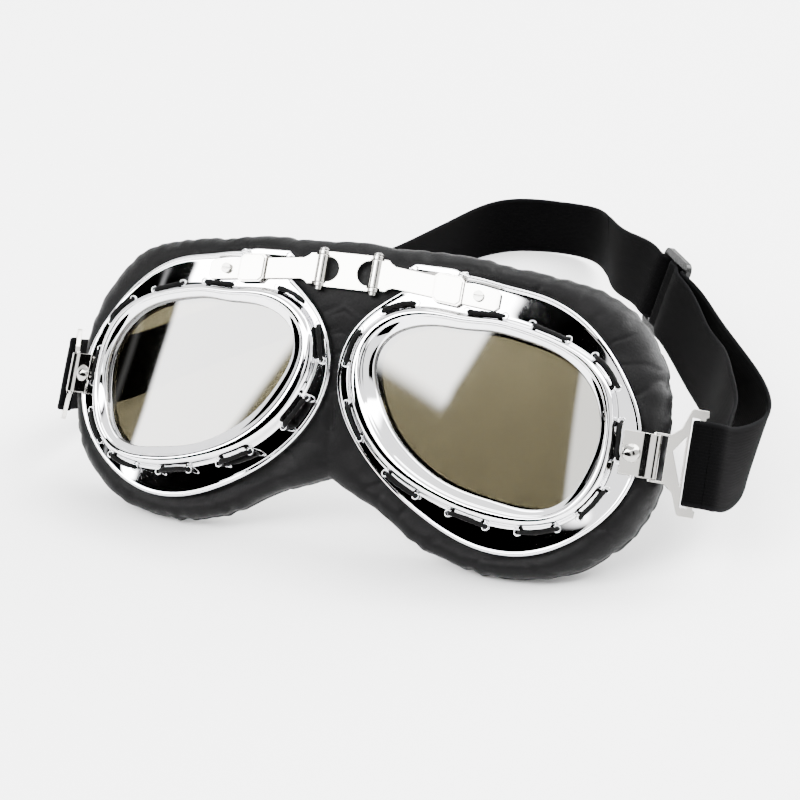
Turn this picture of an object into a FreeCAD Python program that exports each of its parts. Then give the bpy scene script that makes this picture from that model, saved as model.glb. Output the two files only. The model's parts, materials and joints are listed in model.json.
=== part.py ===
import FreeCAD, Part
import math
import os

# Motorcycle goggles lying on a table: two chrome eye frames joined by a hinged nose bridge, a padded
# leatherette mask behind them, and an elastic strap that runs from the left buckle round the back,
# through a slider, to the right buckle and back to the slider.
#
# The pieces are modelled in the goggles' own upright frame: X to the wearer's left (viewer's right),
# Y away from the viewer, Z up, symmetry plane X = 0. Everything is then leaned back and set on the
# table. Lengths are millimetres.

V = FreeCAD.Vector

# Attitude on the table
LEAN = 35.0                 # lean of the face plane from upright, degrees
SHIFT = V(-6.2, -103.68, 54.66)    # moves the middle of the footprint to the origin

# Eye frames
WRAP_RADIUS = 380.0         # both frames follow one upright cylinder
FACE_Y = -3.0               # that cylinder at the symmetry plane
SHEET = 0.9                 # thickness of the frame's metal
BEZEL_HEIGHT = 3.4          # height of the rounded bezel over the frame
BEZEL_CREST = 0.45          # where the bezel is highest, from its foot to its lip
LIP_HEIGHT = 1.0            # the lip round the lens stands this far in front of the cylinder
RIM_HEIGHT = 0.9            # raised rim at the frame's outer edge
CENTRE_X = 48.0             # middle of the lens, from which the outlines are measured
CENTRE_Z = -6.0
STATIONS = 16

# Radii of the outlines from the lens middle, every 22.5 degrees, anticlockwise from the temple side
LENS_RADII = (34.8, 32.1, 27.5, 23.9, 23.2, 24.6, 31.2, 36.2, 31.5, 27.0, 24.3, 23.6, 24.6, 28.4, 35.2, 35.4)
FOOT_RADII = (39.3, 37.9, 32.0, 28.0, 27.2, 29.5, 38.3, 43.9, 41.4, 36.4, 32.5, 30.3, 31.3, 35.3, 40.4, 41.4)
EDGE_RADII = (46.3, 42.3, 40.1, 38.6, 37.9, 41.8, 43.5, 47.0, 46.2, 41.4, 37.9, 37.4, 40.2, 43.9, 46.1, 47.7)
PAD_RADII = (51.8, 52.6, 51.7, 46.6, 44.6, 50.0, 66.0, 58.0, 54.0, 53.5, 46.3, 45.2, 47.0, 50.5, 53.8, 54.2)
# How far the frame's outer edge lies behind the cylinder, at the same stations
EDGE_SETBACK = (1.2, 1.4, 1.5, 1.2, 0.5, -0.4, -0.6, 0.0, 2.6, 6.0, 8.0, 8.7, 8.5, 6.9, 4.2, 1.9)

# Lens and what holds it
LENS_THICKNESS = 1.8
GASKET_THICKNESS = 1.2
RETAINER_THICKNESS = 1.6

# Padded mask
PAD_DEPTH = 17.0            # from the cylinder back to the face side, at the top
LINER_THICKNESS = 2.6       # foam liner against the face
NOSE_HALF = 12.0            # half width of the soft nose piece
SOFT_GAP = 0.35

# Lacing
LACE_RADIUS = 0.75
LACE_STARTS = (0.053, 0.139, 0.222, 0.335, 0.417, 0.516, 0.620, 0.714, 0.802, 0.879, 0.965)
LACE_STITCH = 0.048         # each front stitch's share of the way round

# Nose bridge
PIN_X = 9.0
PIN_RADIUS = 0.9
PIN_BOTTOM = 23.3
PIN_TOP = 36.3
BARREL_RADIUS = 1.75
BARREL_BOTTOM = 25.7
BARREL_TOP = 34.1
PIN_CLEARANCE = 0.06
PLATE = 1.0
BRIDGE_Y = -3.4             # the pins' plane
ARM_END = 48.6
ARM_ROOT = 12.4             # where the arm's strip begins, past the knuckles
ARM_HEIGHT = 6.4
ARM_LEVEL = 30.0            # the strip's middle at the pin
ARM_FALL = 0.090            # how far it falls per millimetre outwards
KEEPER_X = (28.2, 37.4)
SCREW_X = 42.0
SHOULDER = ((19.3, 25.9), (19.3, 32.9), (21.2, 34.5), (33.0, 34.3), (39.0, 32.8), (34.0, 30.5), (27.0, 29.0),
            (22.0, 25.9))   # corner of the frame that carries the arm, X and Z

# Temple tabs and buckles
TAB_TURN = 18.0             # the tab's plane, turned back from the face plane
RIVET = V(92.1, 8.35, -11.8)
TAB_HALF = 6.4
TAB_IN = -2.9               # inner end of the tab from the rivet
TAB_OUT = 6.5               # middle of the buckle's end bar from the rivet
TAB_SHEET = 0.8
BUCKLE_THICKNESS = 1.4
LEFT_FOLD = 33.0            # how far back the left buckle lies in its tab, degrees
RIVET_HEAD = 2.9
RIVET_SHANK = 1.3

# Elastic strap
STRAP_WIDTH = 25.0
STRAP_THICKNESS = 1.2


def turn_point(angle, radius):
    a = math.radians(angle)
    return CENTRE_X + radius * math.cos(a), CENTRE_Z + radius * math.sin(a)


def face_y(x):
    return FACE_Y + x * x / (2.0 * WRAP_RADIUS)


def between(a, b, share):
    return a + (b - a) * share


def loop_points(radii, depth):
    """Points of one closed line round the lens. depth(i) is the distance behind the cylinder."""
    points = []
    for i in range(STATIONS):
        x, z = turn_point(360.0 * i / STATIONS, radii[i])
        points.append(V(x, face_y(x) + depth(i), z))
    return points


def closed_spline(points):
    curve = Part.BSplineCurve()
    curve.interpolate(Points=points, PeriodicFlag=True)
    return curve.toShape()


def ring(loops):
    """Solid whose cross-section has one corner on each closed line."""
    edges = [closed_spline(p) for p in loops]
    faces = []
    for i in range(len(edges)):
        faces.append(Part.makeRuledSurface(edges[i], edges[(i + 1) % len(edges)], 1))
    return solid_of(faces)


def solid_of(faces):
    flat = []
    for f in faces:
        flat.extend(f.Faces)
    shell = Part.makeShell(flat)
    if not shell.isClosed():
        shell.sewShape()
    solid = Part.makeSolid(shell)
    if solid.Volume < 0:
        solid.reverse()
    return solid


def disc(points, thickness):
    """Lens-like solid: the outline on the cylinder, given thickness along Y."""
    outline = closed_spline([V(p.x, -60.0, p.z) for p in points])
    prism = Part.Face(Part.Wire(outline)).extrude(V(0, 120, 0))
    front = points[0].y - face_y(points[0].x)
    outer = Part.makeCylinder(WRAP_RADIUS - front, 200, V(0, FACE_Y + WRAP_RADIUS, -100))
    inner = Part.makeCylinder(WRAP_RADIUS - front - thickness, 200, V(0, FACE_Y + WRAP_RADIUS, -100))
    return prism.common(outer.cut(inner))


def mix(a, b, share):
    return [between(p, q, share) for p, q in zip(a, b)]


def box(x0, x1, y0, y1, z0, z1):
    return Part.makeBox(x1 - x0, y1 - y0, z1 - z0, V(x0, y0, z0))


def upright(x, y, z0, z1, radius):
    return Part.makeCylinder(radius, z1 - z0, V(x, y, z0))


# ---------------------------------------------------------------- eye frame

def shrink(radii, by):
    return [r - by for r in radii]


def eye_frame():
    crest = mix(FOOT_RADII, LENS_RADII, BEZEL_CREST)
    inner_crest = mix(FOOT_RADII, LENS_RADII, 0.8)
    near_edge = mix(EDGE_RADII, FOOT_RADII, 0.12)
    loops = [
        loop_points(EDGE_RADII, lambda i: EDGE_SETBACK[i] + SHEET),
        loop_points(EDGE_RADII, lambda i: EDGE_SETBACK[i] - RIM_HEIGHT * 0.3),
        loop_points(shrink(EDGE_RADII, 0.5), lambda i: EDGE_SETBACK[i] * 0.95 - RIM_HEIGHT),
        loop_points(near_edge, lambda i: EDGE_SETBACK[i] * 0.87 - 0.1),
        loop_points(FOOT_RADII, lambda i: -0.1),
        loop_points(mix(FOOT_RADII, LENS_RADII, 0.12), lambda i: -BEZEL_HEIGHT * 0.75),
        loop_points(crest, lambda i: -BEZEL_HEIGHT),
        loop_points(inner_crest, lambda i: -BEZEL_HEIGHT * 0.72),
        loop_points(LENS_RADII, lambda i: -LIP_HEIGHT),
        loop_points(LENS_RADII, lambda i: -LIP_HEIGHT + SHEET),
        loop_points(inner_crest, lambda i: -BEZEL_HEIGHT * 0.72 + SHEET),
        loop_points(crest, lambda i: -BEZEL_HEIGHT + SHEET),
        loop_points(mix(FOOT_RADII, LENS_RADII, 0.25), lambda i: -BEZEL_HEIGHT * 0.5 + SHEET),
        loop_points(mix(FOOT_RADII, LENS_RADII, 0.16), lambda i: SHEET),
        loop_points(near_edge, lambda i: EDGE_SETBACK[i] * 0.87 + SHEET),
    ]
    body = ring(loops)
    for pair in stitch_ends():
        for turns in pair:
            front, back = lace_front(turns), lace_back(turns)
            body = body.cut(tube(front, back, LACE_RADIUS + 0.15))
    body = body.fuse(wrapped(SHOULDER, -0.5, 0.4))
    half = ARM_HEIGHT / 2 + 0.15
    seat = arm_strip(ARM_ROOT - 2.0, ARM_END + 0.3, -half, half, ARM_LIFT - 0.15, ARM_LIFT + 4.0)
    for tool in (rivet_hole(), screw_hole(), seat, keeper()):
        body = body.cut(tool)
    return body


def lens():
    radii = [r + 1.6 for r in LENS_RADII]
    return disc(loop_points(radii, lambda i: 0.2), LENS_THICKNESS)


def gasket():
    outer = loop_points([r + 1.7 for r in LENS_RADII], lambda i: 0.2 + LENS_THICKNESS + 0.05)
    hole = loop_points([r - 0.3 for r in LENS_RADII], lambda i: 0.2)
    thick = disc(outer, GASKET_THICKNESS)
    return thick.cut(opening(hole))


def retainer():
    outer = loop_points([r + 2.6 for r in LENS_RADII], lambda i: 0.3 + LENS_THICKNESS + GASKET_THICKNESS)
    hole = loop_points([r - 0.6 for r in LENS_RADII], lambda i: 0.2)
    return disc(outer, RETAINER_THICKNESS).cut(opening(hole))


def opening(points):
    outline = closed_spline([V(p.x, -60.0, p.z) for p in points])
    return Part.Face(Part.Wire(outline)).extrude(V(0, 120, 0))


# ---------------------------------------------------------------- lacing

def lace_line(turns, depth_share, depth_extra):
    """A point beside the bezel's foot, turns from 0 to 1 round the lens from the temple side."""
    curve = Part.BSplineCurve()
    radii = [r + 1.0 for r in FOOT_RADII]
    points = loop_points(radii, lambda i: EDGE_SETBACK[i] * depth_share + depth_extra)
    curve.interpolate(Points=points, PeriodicFlag=True)
    where = curve.parameterAtDistance(curve.length() * (turns % 1.0), curve.FirstParameter)
    return curve.value(where)


def lace_front(turns):
    return lace_line(turns, 0.0, -LACE_RADIUS - 0.45)


def lace_back(turns):
    return lace_line(turns, 0.35, SHEET + LACE_RADIUS + 0.35)


def stitch_ends():
    """Where each front stitch begins and ends, in turns round the lens."""
    return [(start, start + LACE_STITCH) for start in LACE_STARTS]


def tube(a, b, radius):
    return Part.makeCylinder(radius, (b - a).Length, a, b - a)


def lacing():
    """The whole cord: front stitches, passes through the holes and runs behind the frame."""
    ends = stitch_ends()
    pieces = []
    for k, (start, end) in enumerate(ends):
        after = ends[(k + 1) % len(ends)][0]
        corners = [lace_back(start), lace_front(start), lace_front(end), lace_back(end), lace_back(after)]
        for p, q in zip(corners[:-1], corners[1:]):
            pieces.append(tube(p, q, LACE_RADIUS))
        for p in corners[:-1]:
            pieces.append(Part.makeSphere(LACE_RADIUS + 0.03, p))
    return pieces[0].multiFuse(pieces[1:])


# ---------------------------------------------------------------- padded mask

def pad_back(i):
    return PAD_DEPTH + 0.4 * EDGE_SETBACK[i]


def pad_loops():
    """Corners of the pad's section: under the frame, over the roll, down the side, across the back."""
    depth = EDGE_SETBACK
    return [
        loop_points([r + 2.6 for r in FOOT_RADII], lambda i: depth[i] * 0.4 + 3.6),
        loop_points(mix(EDGE_RADII, PAD_RADII, 0.06), lambda i: depth[i] + 1.7),
        loop_points(mix(EDGE_RADII, PAD_RADII, 0.55), lambda i: depth[i] * 0.9 + 2.4),
        loop_points(mix(EDGE_RADII, PAD_RADII, 0.90), lambda i: depth[i] * 0.7 + 5.0),
        loop_points(PAD_RADII, lambda i: depth[i] * 0.5 + 9.5),
        loop_points(shrink(PAD_RADII, 1.8), lambda i: pad_back(i) - 3.0),
        loop_points(shrink(PAD_RADII, 4.8), pad_back),
        loop_points([r + 4.6 for r in FOOT_RADII], pad_back),
        loop_points([r + 3.2 for r in FOOT_RADII], lambda i: pad_back(i) - 5.0),
    ]


def whole_pad():
    return ring(pad_loops())


def mirrored(shape):
    return shape.mirror(V(0, 0, 0), V(1, 0, 0))


def pad_side():
    """Right half of the mask past the nose piece, with a pocket for the back of the temple tab."""
    side = whole_pad().common(box(NOSE_HALF + SOFT_GAP / 2, 130, -30, 60, -80, 80))
    pocket = tab_frame(box(TAB_IN - 1.0, TAB_OUT + 2.5, -1.0, TAB_BACK + 1.6, -TAB_HALF - 0.6, TAB_HALF + 0.6))
    return side.cut(pocket)


def nose_pad():
    """Soft middle of the mask, from one frame to the other under the bridge."""
    half = whole_pad().common(box(0, NOSE_HALF - SOFT_GAP / 2, -30, 60, -80, 80))
    return half.fuse(mirrored(half)).removeSplitter()


def liner():
    """Foam ring that lines the mask's face side."""
    outer = [min(p - 5.2, f + 10.0) for p, f in zip(PAD_RADII, FOOT_RADII)]
    inner = [r + 4.0 for r in FOOT_RADII]
    loops = [
        loop_points(outer, lambda i: pad_back(i) + 0.15),
        loop_points(outer, lambda i: pad_back(i) + LINER_THICKNESS),
        loop_points(inner, lambda i: pad_back(i) + LINER_THICKNESS),
        loop_points(inner, lambda i: pad_back(i) + 0.15),
    ]
    return ring(loops).common(box(NOSE_HALF + SOFT_GAP / 2, 130, -30, 60, -80, 80))


# ---------------------------------------------------------------- nose bridge

def bridge_link():
    """Plate between the two pins, with a half-round window beside each barrel and four knuckles."""
    plate = box(-PIN_X, PIN_X, BRIDGE_Y - PLATE / 2, BRIDGE_Y + PLATE / 2, 24.4, 35.4)
    for side in (-1, 1):
        clear = BARREL_RADIUS + 0.35
        gap = box(PIN_X - clear, PIN_X + 3, BRIDGE_Y - 3, BRIDGE_Y + 3, BARREL_BOTTOM - 0.25, BARREL_TOP + 0.25)
        window = Part.makeCylinder(3.9, 6, V(PIN_X - clear, BRIDGE_Y - 3, 29.9), V(0, 1, 0))
        tool = gap.fuse(window)
        plate = plate.cut(tool if side > 0 else mirrored(tool))
        for z0, z1 in ((BARREL_TOP + 0.25, 35.4), (24.4, BARREL_BOTTOM - 0.25)):
            plate = plate.fuse(upright(side * PIN_X, BRIDGE_Y, z0, z1, BARREL_RADIUS))
        plate = plate.cut(upright(side * PIN_X, BRIDGE_Y, 20, 40, PIN_RADIUS))
    return plate.removeSplitter()


def hinge_pin():
    shank = upright(PIN_X, BRIDGE_Y, PIN_BOTTOM, PIN_TOP - 0.8, PIN_RADIUS)
    head = upright(PIN_X, BRIDGE_Y, 35.45, PIN_TOP - 0.1, 1.5)
    dome = Part.makeSphere(1.9, V(PIN_X, BRIDGE_Y, PIN_TOP - 1.5)).common(
        box(PIN_X - 3, PIN_X + 3, BRIDGE_Y - 3, BRIDGE_Y + 3, PIN_TOP - 0.35, PIN_TOP + 2))
    foot = upright(PIN_X, BRIDGE_Y, PIN_BOTTOM, 24.3, 1.25)
    return shank.fuse([head, dome, foot]).removeSplitter()


def arm_middle(x):
    return ARM_LEVEL - ARM_FALL * (x - PIN_X)


def wrapped(corners, near, far):
    """Plate with the given X and Z corners, lying near to far in front of the cylinder."""
    outline = [V(x, -20, z) for x, z in corners]
    column = Part.Face(Part.makePolygon(outline + outline[:1])).extrude(V(0, 40, 0))
    outer = Part.makeCylinder(WRAP_RADIUS + far, 120, V(0, FACE_Y + WRAP_RADIUS, -40))
    inner = Part.makeCylinder(WRAP_RADIUS + near, 120, V(0, FACE_Y + WRAP_RADIUS, -40))
    return column.common(outer.cut(inner))


def arm_strip(x0, x1, low, high, near, far):
    """Strip along the arm, low to high from its middle line."""
    corners = [(x0, arm_middle(x0) + low), (x1, arm_middle(x1) + low)]
    corners += [(x1, arm_middle(x1) + high), (x0, arm_middle(x0) + high)]
    return wrapped(corners, near, far)


ARM_LIFT = 0.25
ARM_SHOULDER = ((11.3, 4.8), (13.0, 4.8), (13.8, 4.0), (15.4, 3.3))


def bridge_arm():
    """Barrel, flared head and strip with clipped end corners, as one pressed sheet."""
    half = ARM_HEIGHT / 2
    barrel = upright(PIN_X, BRIDGE_Y, BARREL_BOTTOM, BARREL_TOP, BARREL_RADIUS)
    web = wrapped([(PIN_X + 0.9, BARREL_BOTTOM), (ARM_ROOT, BARREL_BOTTOM), (ARM_ROOT, BARREL_TOP),
                   (PIN_X + 0.9, BARREL_TOP)], ARM_LIFT, ARM_LIFT + PLATE)
    top = [(x, arm_middle(x) + rise) for x, rise in ARM_SHOULDER]
    top += [(ARM_END - 1.2, arm_middle(ARM_END) + half), (ARM_END, arm_middle(ARM_END) + half - 1.2)]
    low = [(x, arm_middle(x) - rise) for x, rise in ARM_SHOULDER]
    low += [(ARM_END - 1.2, arm_middle(ARM_END) - half), (ARM_END, arm_middle(ARM_END) - half + 1.2)]
    sheet = wrapped(top + low[::-1], ARM_LIFT, ARM_LIFT + PLATE)
    arm = barrel.fuse([web, sheet])
    arm = arm.cut(upright(PIN_X, BRIDGE_Y, 20, 40, PIN_RADIUS + PIN_CLEARANCE))
    return arm.cut(screw_hole()).removeSplitter()


def keeper():
    """Pillow-shaped loop on the frame that the arm passes through, standing on two feet."""
    x0, x1 = KEEPER_X
    half = ARM_HEIGHT / 2
    over = ARM_LIFT + PLATE + 0.15
    rim = half + 1.3
    corners = [(x0 + 1.2, rim), (x1 - 1.2, rim), (x1, rim - 1.2), (x1, -rim + 1.2), (x1 - 1.2, -rim),
               (x0 + 1.2, -rim), (x0, -rim + 1.2), (x0, rim - 1.2)]
    inset = [(x - 0.5 * math.copysign(1, x - (x0 + x1) / 2), rise * 0.9) for x, rise in corners]
    plate = wrapped([(x, arm_middle(x) + rise) for x, rise in corners], over, over + PLATE * 0.6)
    crown = wrapped([(x, arm_middle(x) + rise) for x, rise in inset], over + PLATE * 0.5, over + PLATE)
    lower = arm_strip(x0 + 1.2, x1 - 1.2, -rim, -half - 0.3, -0.12, over + 0.1)
    upper = arm_strip(x0 + 1.2, x1 - 1.2, half + 0.3, rim, -0.12, over + 0.1)
    return plate.fuse([crown, lower, upper]).removeSplitter()


SCREW_LINE = V(-SCREW_X / WRAP_RADIUS, math.sqrt(1.0 - (SCREW_X / WRAP_RADIUS) ** 2), 0)


def screw_axis(depth):
    """Point on the screw's axis, depth behind the cylinder."""
    return V(SCREW_X, face_y(SCREW_X), arm_middle(SCREW_X)) + SCREW_LINE * depth


def screw_hole():
    return Part.makeCylinder(0.8, 12, screw_axis(-6), SCREW_LINE)


def screw():
    """Cheese-headed screw with a slot; its head stands just clear of the arm."""
    head_seat = -ARM_LIFT - PLATE - 0.03
    head = Part.makeCylinder(1.6, 0.9, screw_axis(head_seat - 0.9), SCREW_LINE)
    level = arm_middle(SCREW_X)
    slot = box(SCREW_X - 2, SCREW_X + 2, -8, face_y(SCREW_X) + head_seat - 0.55, level - 0.2, level + 0.2)
    shank = Part.makeCylinder(0.72, 4.4, screw_axis(head_seat - 0.3), SCREW_LINE)
    return head.cut(slot).fuse(shank).removeSplitter()


def screw_nut():
    nut = Part.makeCylinder(1.6, 1.0, screw_axis(1.25), SCREW_LINE)
    return nut.cut(Part.makeCylinder(0.72, 12, screw_axis(-6), SCREW_LINE))


# ---------------------------------------------------------------- temple tab, rivet, buckle

def tab_frame(shape):
    """Places a shape drawn flat: X along the tab from the rivet, Y towards the wearer, Z up."""
    out = shape.copy()
    out.rotate(V(0, 0, 0), V(0, 0, 1), TAB_TURN)
    out.translate(RIVET)
    return out


def rivet_hole():
    return tab_frame(Part.makeCylinder(RIVET_SHANK, 14, V(0, -7, 0), V(0, 1, 0)))


BAR_RADIUS = 0.75           # the buckle's round end bar, which rocks in the fold
FOLD_INSIDE = 1.0
TAB_FRONT = -1.75           # front layer's middle
TAB_BACK = 2.5              # back layer's middle


def strip_path(points, thickness, half, z_mid=0.0):
    """Sheet-metal strip: a line of (x, y) corners given thickness, extruded to the tab's height."""
    left = []
    right = []
    for i, (x, y) in enumerate(points):
        a = points[max(i - 1, 0)]
        b = points[min(i + 1, len(points) - 1)]
        dx, dy = b[0] - a[0], b[1] - a[1]
        size = math.hypot(dx, dy)
        nx, ny = -dy / size * thickness / 2, dx / size * thickness / 2
        left.append(V(x + nx, y + ny, z_mid - half))
        right.append(V(x - nx, y - ny, z_mid - half))
    outline = left + right[::-1] + left[:1]
    return Part.Face(Part.makePolygon(outline)).extrude(V(0, 0, 2 * half))


def temple_tab():
    """One strip folded round the buckle's end bar, with the frame's edge between its two layers."""
    reach = FOLD_INSIDE + TAB_SHEET / 2
    fold = [(TAB_OUT + reach * math.sin(math.radians(a)), -reach * math.cos(math.radians(a)))
            for a in range(0, 181, 20)]
    points = [(TAB_IN, TAB_FRONT), (2.9, TAB_FRONT), (TAB_OUT - 1.7, -reach)] + fold
    points += [(TAB_OUT - 1.7, reach), (2.5, TAB_BACK), (TAB_IN + 0.5, TAB_BACK)]
    strip = strip_path(points, TAB_SHEET, TAB_HALF)
    return tab_frame(strip).cut(rivet_hole())


def rivet():
    seat = TAB_FRONT - TAB_SHEET / 2 - 0.02
    dome = Part.makeSphere(3.4, V(0, seat + 2.0, 0)).common(
        Part.makeCylinder(RIVET_HEAD, 3, V(0, seat - 3, 0), V(0, 1, 0)))
    shank = Part.makeCylinder(RIVET_SHANK - 0.03, 5.6, V(0, seat - 0.3, 0), V(0, 1, 0))
    return tab_frame(dome.fuse(shank).removeSplitter())


def rivet_washer():
    seat = TAB_BACK + TAB_SHEET / 2 + 0.02
    washer = Part.makeCylinder(2.4, 0.6, V(0, seat, 0), V(0, 1, 0))
    return tab_frame(washer.cut(Part.makeCylinder(RIVET_SHANK - 0.03, 9, V(0, -2, 0), V(0, 1, 0))))


# The buckle, drawn flat from the middle of its end bar: (along, up)
BUCKLE_HALF_IN = 7.2
BUCKLE_HALF_OUT = 15.6
SLOT_REACH = 3.5            # far edge of the slot that takes the tab
WINDOW = ((5.3, 2.6), (8.7, 7.4), (8.7, -7.2))
STRAP_SLOT = (9.4, 11.6)
OUTER_BAR = (11.6, 13.3)


def flat_shape(points, thickness):
    corners = [V(x, -thickness / 2, z) for x, z in points]
    return Part.Face(Part.makePolygon(corners + corners[:1])).extrude(V(0, thickness, 0))


def buckle():
    """Fishtail buckle: round end bar in the tab's fold, three-cornered window, strap slot and outer bar."""
    half = [(0.0, BUCKLE_HALF_IN), (4.3, BUCKLE_HALF_IN), (6.9, 9.4), (8.1, 12.8), (8.9, 15.0),
            (9.6, BUCKLE_HALF_OUT), (OUTER_BAR[1] + 0.6, BUCKLE_HALF_OUT)]
    half += [(OUTER_BAR[1] + 0.8, 13.7), (OUTER_BAR[1], 13.3)]
    outline = half + [(x, -z) for x, z in half[::-1]]
    plate = flat_shape(outline, BUCKLE_THICKNESS)
    inner = TAB_HALF + 0.2
    plate = plate.cut(box(-1, SLOT_REACH, -3, 3, -inner, inner))
    plate = plate.cut(flat_shape(WINDOW, 6))
    slot_half = STRAP_WIDTH / 2 + 0.6
    plate = plate.cut(box(STRAP_SLOT[0], STRAP_SLOT[1], -3, 3, -slot_half, slot_half))
    bar = upright(0, 0, -BUCKLE_HALF_IN, BUCKLE_HALF_IN, BAR_RADIUS)
    out = plate.fuse(bar).removeSplitter()
    out.translate(V(TAB_OUT, 0, 0))
    return tab_frame(out)


def bar_middle():
    return TAB_OUT + (OUTER_BAR[0] + OUTER_BAR[1]) / 2.0


LOOP_REACH = BUCKLE_THICKNESS / 2 + 0.35 + STRAP_THICKNESS / 2
LOOP_END = 2.4              # the folded loop ends this far past the middle of the outer bar
LOOP_BEND = -0.4


def strap_loop():
    """Strap folded round the buckle's outer bar, in front of it and behind."""
    bar = bar_middle()
    fold = [(bar + LOOP_BEND - LOOP_REACH * math.sin(math.radians(a)), -LOOP_REACH * math.cos(math.radians(a)))
            for a in range(0, 181, 20)]
    points = [(bar + LOOP_END, -LOOP_REACH)] + fold + [(bar + LOOP_END, LOOP_REACH)]
    return tab_frame(strip_path(points, STRAP_THICKNESS, STRAP_WIDTH / 2))


# ---------------------------------------------------------------- strap on the table

def lean_back(shape):
    out = shape.copy()
    out.rotate(V(0, 0, 0), V(1, 0, 0), -LEAN)
    return out


RIBBON_STEP = 2.0           # longest straight piece of webbing


def ribbon(stations, first=0, last=-1):
    """Webbing through stations of (x, y, z) and the direction (kx, ky, kz) of its upper edge.

    Only the stations from first to last are made, so that pieces of one strap meet face to face.
    """
    middles = [V(*row[:3]) for row in stations]
    walked = [0.0]
    for p, q in zip(middles[:-1], middles[1:]):
        walked.append(walked[-1] + (q - p).Length)
    line = Part.BSplineCurve()
    line.interpolate(Points=middles, Parameters=walked)
    rim = Part.BSplineCurve()
    rim.interpolate(Points=[p + V(*row[3:]) for p, row in zip(middles, stations)], Parameters=walked)
    begin, end = walked[first], walked[last]
    pieces = math.ceil((end - begin) / RIBBON_STEP)
    outlines = []
    for k in range(pieces + 1):
        where = begin + (end - begin) * k / pieces
        p = line.value(where)
        run = line.tangent(where)[0]
        up = rim.value(where) - p
        up = (up - run * up.dot(run)).normalize()
        out = run.cross(up) * (STRAP_THICKNESS / 2)
        side = up * (STRAP_WIDTH / 2)
        corners = [p + side + out, p + side - out, p - side - out, p - side + out]
        outlines.append(Part.makePolygon(corners + corners[:1]))
    return Part.makeSolid(Part.makeLoft(outlines, True, True).Shells[0])


# Slider: its middle and directions on the table, down the strap to the buckle and up its width
SLIDER_AT = V(71.0, 134.5, -25.0)
SLIDER_RUN = V(0.59, -0.81, -0.03).normalize()
SLIDER_UP = V(0.24, 0.20, 0.95)
SLIDER_LENGTH = 20.0
SLIDER_WIDTH = 31.0
SLIDER_THICKNESS = 2.0
SLIDER_BAR = 3.0
SLIDER_END_BAR = 1.6
LAYER = SLIDER_THICKNESS / 2 + STRAP_THICKNESS / 2 + 0.2    # strap's middle, beside a bar


def slider_axes():
    run = SLIDER_RUN
    up = (SLIDER_UP - run * SLIDER_UP.dot(run)).normalize()
    return run, run.cross(up), up


def slider_place(shape):
    """Places a shape drawn flat: X down the strap, Y to the inside of its loop, Z up its width."""
    run, inside, up = slider_axes()
    out = shape.copy()
    out.Placement = FreeCAD.Placement(SLIDER_AT, FreeCAD.Rotation(run, inside, up, "XZY"))
    return out


def slider_point(along, inside):
    run, inner, up = slider_axes()
    p = SLIDER_AT + run * along + inner * inside
    return (p.x, p.y, p.z, up.x, up.y, up.z)


def slider():
    """Three-bar slider with rounded corners and a window each side of the middle bar."""
    half_l, half_w, half_t = SLIDER_LENGTH / 2, SLIDER_WIDTH / 2, SLIDER_THICKNESS / 2
    body = box(-half_l, half_l, -half_t, half_t, -half_w, half_w)
    corners = [e for e in body.Edges if abs(e.Vertexes[0].X - e.Vertexes[1].X) < 1e-6
               and abs(e.Vertexes[0].Z - e.Vertexes[1].Z) < 1e-6]
    body = body.makeFillet(3.0, corners)
    window_half = STRAP_WIDTH / 2 + 0.5
    inner = SLIDER_BAR / 2
    for side in (-1, 1):
        x0, x1 = sorted((side * inner, side * (half_l - SLIDER_END_BAR)))
        body = body.cut(box(x0, x1, -5, 5, -window_half, window_half))
    return slider_place(body)


FOLD_END = 3.0


def strap_fold():
    """End of the inner layer, folded round the slider's middle bar."""
    bend = SLIDER_BAR / 2 - 0.6
    points = [(FOLD_END, LAYER)]
    for a in range(0, 181, 20):
        points.append((-bend - LAYER * math.sin(math.radians(a)), LAYER * math.cos(math.radians(a))))
    points.append((1.5, -LAYER))
    return slider_place(strip_path(points, STRAP_THICKNESS, STRAP_WIDTH / 2))


def bar_axis():
    """Middle of the buckle's end bar, upright."""
    return FreeCAD.Rotation(V(0, 0, 1), TAB_TURN).multVec(V(TAB_OUT, 0, 0)) + RIVET


def folded_back(shape):
    """A right-hand piece swung back about the buckle's end bar, as its left-hand copy lies."""
    out = shape.copy()
    out.rotate(bar_axis(), V(0, 0, 1), LEFT_FOLD)
    return out


def buckle_point(along, across, fold=0.0):
    """Point and upper-edge direction of the strap beside the right buckle, once leaned back."""
    p = FreeCAD.Rotation(V(0, 0, 1), TAB_TURN + fold).multVec(V(along - TAB_OUT, across, 0)) + bar_axis()
    tip = FreeCAD.Rotation(V(1, 0, 0), -LEAN)
    q = tip.multVec(p)
    up = tip.multVec(V(0, 0, 1))
    return (q.x, q.y, q.z, up.x, up.y, up.z)


def mirror_station(row):
    return (-row[0], row[1], row[2], -row[3], row[4], row[5])


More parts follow.
